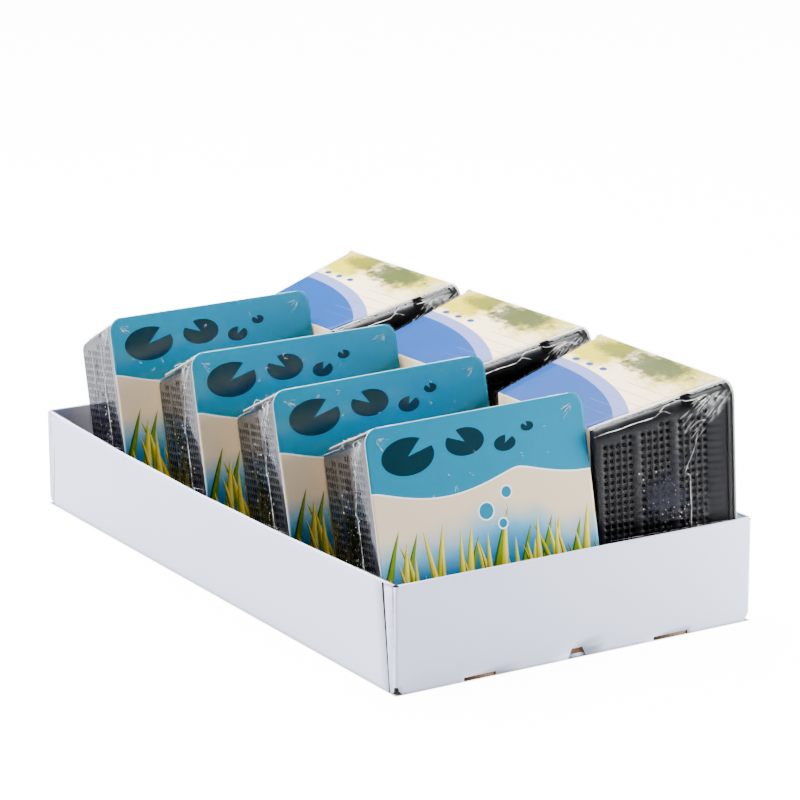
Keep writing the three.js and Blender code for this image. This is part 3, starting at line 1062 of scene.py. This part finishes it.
def sleeve_mesh():
    """The card sleeve's outer skin, folded round mouth, upper wall, base and lower wall."""
    bm = bmesh.new()
    half = KIT_WIDTH / 2
    fold = half - SLEEVE_FRONT_MARGIN
    curve = spaced(fold, half, CURVE_LINES)[1:]
    lines = [-c for c in reversed(curve)] + spaced(-fold, fold, FRONT_LINES) + curve
    corners = lined_grid(bm, lines, lines)
    for vert in corners.values():
        vert.co = rounded(vert.co.x, 0.0, vert.co.y, half, FRONT_CORNER)
    lower = KIT_DEPTH * math.tan(TAPER)
    route = [(d * KIT_DEPTH, KIT_WIDTH - d * lower) for d in spaced(0, 1, PANEL_LINES)[1:]]
    route += [(KIT_DEPTH, z) for z in spaced(KIT_WIDTH - lower, lower, PANEL_LINES)[1:]]
    route += [(d * KIT_DEPTH, d * lower) for d in spaced(1, 0, PANEL_LINES)[1:]]
    flat_top = {v for v in bm.verts if v.co.z > KIT_WIDTH - NEAR and abs(v.co.x) < fold + NEAR}
    rim = [e for e in bm.edges if all(v in flat_top for v in e.verts)]
    base_half = half - lower - SLEEVE_BASE_MARGIN
    for depth, height in route:
        verts, rim = drawn_out(bm, rim)
        reach = fold + (base_half - fold) * depth / KIT_DEPTH
        scale = max(abs(v.co.x) for v in verts)
        for vert in verts:
            vert.co = Vector((vert.co.x / scale * reach, depth, height))
    bmesh.ops.remove_doubles(bm, verts=bm.verts, dist=SLEEVE_WELD)
    bmesh.ops.recalc_face_normals(bm, faces=bm.faces)
    uv = bm.loops.layers.uv.new("print")
    for face in bm.faces:
        face.material_index = sleeve_side(face)
        for loop in face.loops:
            x, y, z = loop.vert.co
            up = z / KIT_WIDTH if face.material_index == FRONT_FACE else y / KIT_DEPTH
            loop[uv].uv = (x / KIT_WIDTH + 0.5, up)
    folds = [edge for edge in bm.edges if sharpness(edge) > 40]
    bmesh.ops.bevel(bm, geom=folds, offset=FOLD_RADIUS, offset_type="OFFSET", segments=4, profile=0.5,
                    affect="EDGES", material=-1, loop_slide=True)
    smooth_faces(bm)
    return bm


def sleeve_side(face):
    """Which side a face belongs to: the printed front, the upper panel or the plain rest."""
    if face.normal.y < -0.7:
        return FRONT_FACE
    return UPPER_FACE if face.normal.z > 0.7 else PLAIN_FACE


# Film

def film_half(depth):
    return KIT_WIDTH / 2 - depth * math.tan(TAPER) + GAP


def film_corner(depth):
    return FRONT_CORNER + (BASE_CORNER - FRONT_CORNER) * depth / KIT_DEPTH


def on_skin(side, first, second, lift=0.0):
    """A point of the film, raised by lift, from its places across and down one side of a kit.

    On the front, the second place is the height from the middle.
    """
    if side == "front":
        return rounded(first, -GAP, second, film_half(0), FRONT_CORNER) + Vector((0, -lift, 0))
    half, slope = film_half(second), math.tan(TAPER)
    if side == "top":
        place, normal = (first, half), (0, slope, 1)
    else:
        hand = -1 if side == "near" else 1
        place, normal = (hand * half, first), (hand, slope, 0)
    return rounded(place[0], second, place[1], half, film_corner(second)) + Vector(normal).normalized() * lift


def crease(bm, side, route, width, height):
    """A fold of film that stands up along a route on a side, thinning out at both ends."""
    count = len(route)
    rails = []
    for k, (first, second) in enumerate(route):
        before, after = route[max(k - 1, 0)], route[min(k + 1, count - 1)]
        along = Vector((after[0] - before[0], after[1] - before[1]))
        along.normalize()
        swell = math.sin(math.pi * (k + 0.35) / (count - 0.3)) ** 0.5
        aside = Vector((-along.y, along.x)) * width / 2 * swell
        low = [on_skin(side, first + s * aside.x, second + s * aside.y, FOLD_FOOT) for s in (-1, 1)]
        top = on_skin(side, first, second, height * swell)
        rails.append([bm.verts.new(p) for p in (low[0], top, low[1])])
    for first, second in zip(rails, rails[1:]):
        for a, b in ((0, 1), (1, 2), (2, 0)):
            bm.faces.new((first[a], first[b], second[b], second[a]))
    for rail in (rails[0], rails[-1]):
        bm.faces.new(rail)
    finish_faces([vert for rail in rails for vert in rail], FOLD_FACE)


def wandering(chance, start, stop, steps, sway):
    """A route from start to stop that strays a little from the straight line."""
    drift = 0.0
    route = []
    across = Vector((start[1] - stop[1], stop[0] - start[0])).normalized()
    for k in range(steps + 1):
        share = k / steps
        drift = 0.6 * drift + chance.uniform(-sway, sway)
        stray = drift * math.sin(math.pi * share)
        route.append((start[0] + (stop[0] - start[0]) * share + across.x * stray,
                      start[1] + (stop[1] - start[1]) * share + across.y * stray))
    return route


def held_inside(place, side):
    """A place, moved inside its side's edges."""
    low, high = FAN_LIMIT[side]
    return min(max(place[0], -FAN_LIMIT_ACROSS), FAN_LIMIT_ACROSS), min(max(place[1], low), high)


def fan(bm, chance, side, knot, heading, spread, reach, count, width):
    """Fine folds that spread from a knot in the film about a heading, in millimetres and degrees."""
    knot, reach, width = (knot[0] * MM, knot[1] * MM), reach * MM, width * MM
    for _ in range(count):
        angle = math.radians(heading + chance.uniform(-spread, spread))
        start_off, length = chance.uniform(0, 0.3) * reach, chance.uniform(0.35, 1.0) * reach
        across, along = math.sin(angle), math.cos(angle)
        aside = chance.uniform(-1, 1) * 0.05 * reach
        start = (knot[0] + across * start_off + along * aside, knot[1] + along * start_off - across * aside)
        stop = (start[0] + across * length, start[1] + along * length)
        route = wandering(chance, held_inside(start, side), held_inside(stop, side), 7, 0.009 * reach)
        crease(bm, side, route, chance.uniform(0.5, 1.0) * width, 0.7 * width)


def beads(bm, chance):
    """Small beads of damp under the film on the near wall, as low domes."""
    for _ in range(BEADS):
        first, second = (middle + chance.triangular(-2, 2) * spread
                         for middle, spread in zip(BEAD_CENTRE, BEAD_SPREAD))
        size = chance.uniform(0.25, 0.7) * MM
        made = bmesh.ops.create_icosphere(bm, subdivisions=1, radius=size)["verts"]
        seat = on_skin("near", first, second)
        for vert in made:
            vert.co = seat + Vector((vert.co.x * 0.5, vert.co.y, vert.co.z))
        finish_faces(made, FOLD_FACE)


def traced(points, chance, sway):
    """A route through the given points that strays a little between them."""
    route = []
    for start, stop in zip(points, points[1:]):
        steps = max(2, round(math.dist(start, stop) / ROUTE_STEP))
        route += wandering(chance, start, stop, steps, sway)[:-1]
    return route + [points[-1]]


def film_creases(bm, chance, punched):
    """The film's folds: fans at the mouth's corners, cracks down the near wall and lines at the edges."""
    for step in KNOT_STEPS[punched]:
        for shape in KNOT_FANS:
            fan(bm, chance, "near", (KNOT[0] + step, KNOT[1] + step), *shape)
    fan(bm, chance, *KNOT_STAR)
    for route, sway, width, height in LINES:
        crease(bm, "near", traced(route, chance, sway * MM), width * MM, height * MM)
    fan(bm, chance, *FOOT_FAN)
    beads(bm, chance)
    for row in FRONT_FANS:
        fan(bm, chance, *row)
    for _ in range(SMALL_FANS):
        knot = [chance.uniform(*limits) for limits in SMALL_FAN_PLACES]
        fan(bm, chance, "front", knot, chance.uniform(0, 360), *SMALL_FAN)
    for row in OTHER_FANS:
        fan(bm, chance, *row)


def mark_damp(bm):
    """Writes where damp gathers inside the film: over the holes, fading towards a wall's edges."""
    damp = bm.verts.layers.float.new("damp")
    for vert in bm.verts:
        height = vert.co.z - KIT_WIDTH / 2
        side_on = abs(vert.co.x) > film_half(vert.co.y) - FRONT_CORNER / 4
        down, across = height + DAMP_DROP, vert.co.y - KIT_DEPTH / 2
        fading = 1 - math.hypot(down / DAMP_REACH[0], across / DAMP_REACH[1])
        vert[damp] = max(0.0, fading) if side_on else 0.0


def vent_line():
    """The vent's middle inside a long upper edge of the film, and its direction outwards."""
    half = film_half(VENT_DEPTH) - FRONT_CORNER / 2
    return Vector((-half, VENT_DEPTH, KIT_WIDTH / 2 + half)), Vector((-1, 0, 1)).normalized()


def wave_film(bm, phase):
    """Lifts the film in soft waves, and opens its vent."""
    middle, axis = vent_line()
    vent = []
    for vert in bm.verts:
        away = vert.co - middle
        out = away.dot(axis)
        if (away - axis * out).length < VENT_RADIUS and out > -VENT_RADIUS:
            vent.append(vert)
            continue
        seat = vert.co * 22 + Vector((phase, 0, 0))
        wave = 0.5 + 0.5 * noise.noise(seat) + 0.25 * noise.noise(seat * 3)
        vert.co += vert.normal * FILM_WAVE * max(0.0, wave)
    bmesh.ops.delete(bm, geom=vent, context="VERTS")


def film_mesh(chance, punched):
    """The wrap: a thin skin with soft waves, folds and a round vent, over a dark disc where punched."""
    bm = tapered_block(FILM_CUTS, -GAP, KIT_DEPTH + GAP, film_half, film_corner)
    bmesh.ops.recalc_face_normals(bm, faces=bm.faces)
    mark_damp(bm)
    wave_film(bm, chance.uniform(0, 50))
    film_creases(bm, chance, punched)
    if punched:
        # Painted shade: a disc of the darker shaded plastic sits under the vent, for the hole's dark inside
        # with the black basket in shade beyond it
        middle, axis = vent_line()
        seat = Matrix.Translation(middle + axis * (FRONT_CORNER / 2 - VENT_SINK))
        turned = seat @ axis.to_track_quat("Z", "Y").to_matrix().to_4x4()
        disc = bmesh.ops.create_circle(bm, cap_ends=True, segments=24, radius=VENT_RADIUS, matrix=turned)
        finish_faces(disc["verts"], VENT_FACE)
    smooth_faces(bm, 70)
    return bm


def kit_matrix(corner, side, lean, turn, roll):
    """Where a kit lies once one lower corner of its mouth stands at the given point."""
    turned = Matrix.Rotation(turn, 4, "Z") @ Matrix.Rotation(-lean, 4, "X") @ Matrix.Rotation(-roll, 4, "Y")
    lower_corner = turned @ Vector((side * KIT_WIDTH / 2, 0, 0))
    return Matrix.Translation(Vector(corner) - lower_corner) @ turned


def dress_kit(label, matrix, looks, seed, punched):
    def dress(name, solid, bm, slot, *finishes):
        materials = [looks[finish] for finish in finishes]
        return piece_from(f"{name}_{label}", bm, materials, [f"{solid}_{label}"], matrix)

    basket = dress("perforated_basket", "basket", basket_mesh(), "basket_plastic", "basket", "shaded_plastic_look")
    # Painted shade: the basket's inner face and the sides of its holes take the darker copy of the plastic
    thicken(basket, HOLE_RIM, 1, 1)
    dress("soil_fill", "soil", soil_mesh(), "planting_soil", "soil")
    sleeve = dress("card_sleeve", "sleeve", sleeve_mesh(), "printed_card", "front", "upper", "plain", "core")
    thicken(sleeve, CARD, CORE_FACE, CORE_FACE)
    film = film_mesh(random.Random(seed), punched)
    dress("film_wrap", "film", film, "shrink_film", "film", "film_fold", "shaded_plastic_look")


# Stage

def floor_finish():
    """A pale floor that looks white from the camera without flooding the object with light."""
    material, sketch = finish("pale_floor", Roughness=0.7, Base_Color=FLOOR_GREY, Emission_Color=WHITE)
    seen = sketch.put("ShaderNodeLightPath", {}, "Is Camera Ray")
    folded = sketch.vector("ABSOLUTE", sketch.object_place())
    # Painted contact shadow: the camera-seen glow fades out near the tray's foot, so the floor's own shading
    # shows there as a dark line
    foot = (TRAY_WIDTH / 2 - FOOT_INSET, TRAY_LENGTH / 2 - FOOT_INSET, 0.0)
    beyond = sketch.vector("MAXIMUM", sketch.vector("SUBTRACT", folded, foot), (0.0, 0.0, 0.0))
    clear = sketch.rise(sketch.measure("LENGTH", beyond), 0.0, CONTACT_SHADOW_REACH) * FLOOR_GLOW
    sketch.paint(Emission_Strength=seen * clear + (1.0 - seen) * FLOOR_BOUNCE)
    return material


def make_floor():
    bm = bmesh.new()
    bmesh.ops.create_grid(bm, x_segments=2, y_segments=2, size=FLOOR_SIZE)
    placed("floor", mesh_from("floor", bm, [floor_finish()]))


def make_lights():
    """Soft square lights that each face a point, and a faint blue surround."""
    for name, (place, aim, size, power) in LIGHTS.items():
        lamp = bpy.data.lights.new(name, "AREA")
        lamp.shape = "RECTANGLE"
        lamp.size, lamp.size_y = size
        lamp.energy = power
        light = placed(name, lamp)
        light.location = place
        light.rotation_euler = (Vector(aim) - Vector(place)).to_track_quat("-Z", "Y").to_euler()
    world = bpy.data.worlds.new("studio")
    world.use_nodes = True
    backdrop = world.node_tree.nodes["Background"]
    backdrop.inputs["Color"].default_value = WORLD_TINT
    backdrop.inputs["Strength"].default_value = WORLD_STRENGTH
    bpy.context.scene.world = world


def make_camera():
    lens = bpy.data.cameras.new("camera")
    lens.sensor_width = 36.0
    lens.lens = CAMERA_LENS
    lens.clip_start, lens.clip_end = 0.05, 60.0
    camera = placed("camera", lens)
    turned = Matrix.Rotation(CAMERA_HEADING, 4, "Z") @ Matrix.Rotation(math.pi / 2 - CAMERA_PITCH, 4, "X")
    turned = turned @ Matrix.Rotation(CAMERA_ROLL, 4, "Z")
    camera.matrix_world = Matrix.Translation(CAMERA_PLACE) @ turned
    bpy.context.scene.camera = camera


def main():
    make_camera()
    make_lights()
    make_floor()
    fibre, scuff = paper_fibre_group(), scuff_group()
    looks = {
        "core": paper_finish("card_core", fibre, CARD_CORE, 0.2, 160.0, 0.1 * MM, Roughness=0.85),
        "board": coated_board_finish("coated_board", fibre, scuff, COATED_BOARD),
        # Painted shade: the tray's inside takes this darker grey copy of the board
        "shaded_inside": coated_board_finish("shaded_inside_board", fibre, scuff, INSIDE_SHADE_GREY),
        "raw": paper_finish("raw_board", fibre, KRAFT, 0.5, 240.0, 0.3 * MM, Roughness=0.9),
        # Painted shade: dark grey cut edges stand for the shade in the gaps between sheets
        "cut": paper_finish("shaded_cut_board_edge", fibre, SHADED_CUT_EDGE, 0.5, 240.0, 0.3 * MM, Roughness=0.9),
        "basket": basket_finish("basket_plastic", scuff, BLACK_PLASTIC, DUSTY_PLASTIC, 0.25),
        # Painted shade: the darker copy of the plastic, for hole sides, the basket's inside and the vent
        "shaded_plastic_look": basket_finish("shaded_hole_edges", scuff, SHADED_PLASTIC, SHADED_PLASTIC, 0.03),
        "soil": soil_finish(),
        "front": card_finish("front_print", fibre, front_print),
        "upper": card_finish("upper_print", fibre, upper_print),
        "plain": card_finish("plain_card", fibre, lambda sketch: PANEL_CREAM),
        "film": film_finish(),
        "film_fold": film_fold_finish(),
    }
    tray_piece([looks[name] for name in TRAY_LOOKS])
    for label, (x, y, *angles, seed) in KITS.items():
        punched = label.startswith("right")
        side = 1 if punched else -1
        corner = (side * (TRAY_WIDTH / 2 - x * MM), y * MM - TRAY_LENGTH / 2, KIT_FLOOR)
        matrix = kit_matrix(corner, side, *(math.radians(angle) for angle in angles))
        dress_kit(label, matrix, looks, seed, punched)


main()
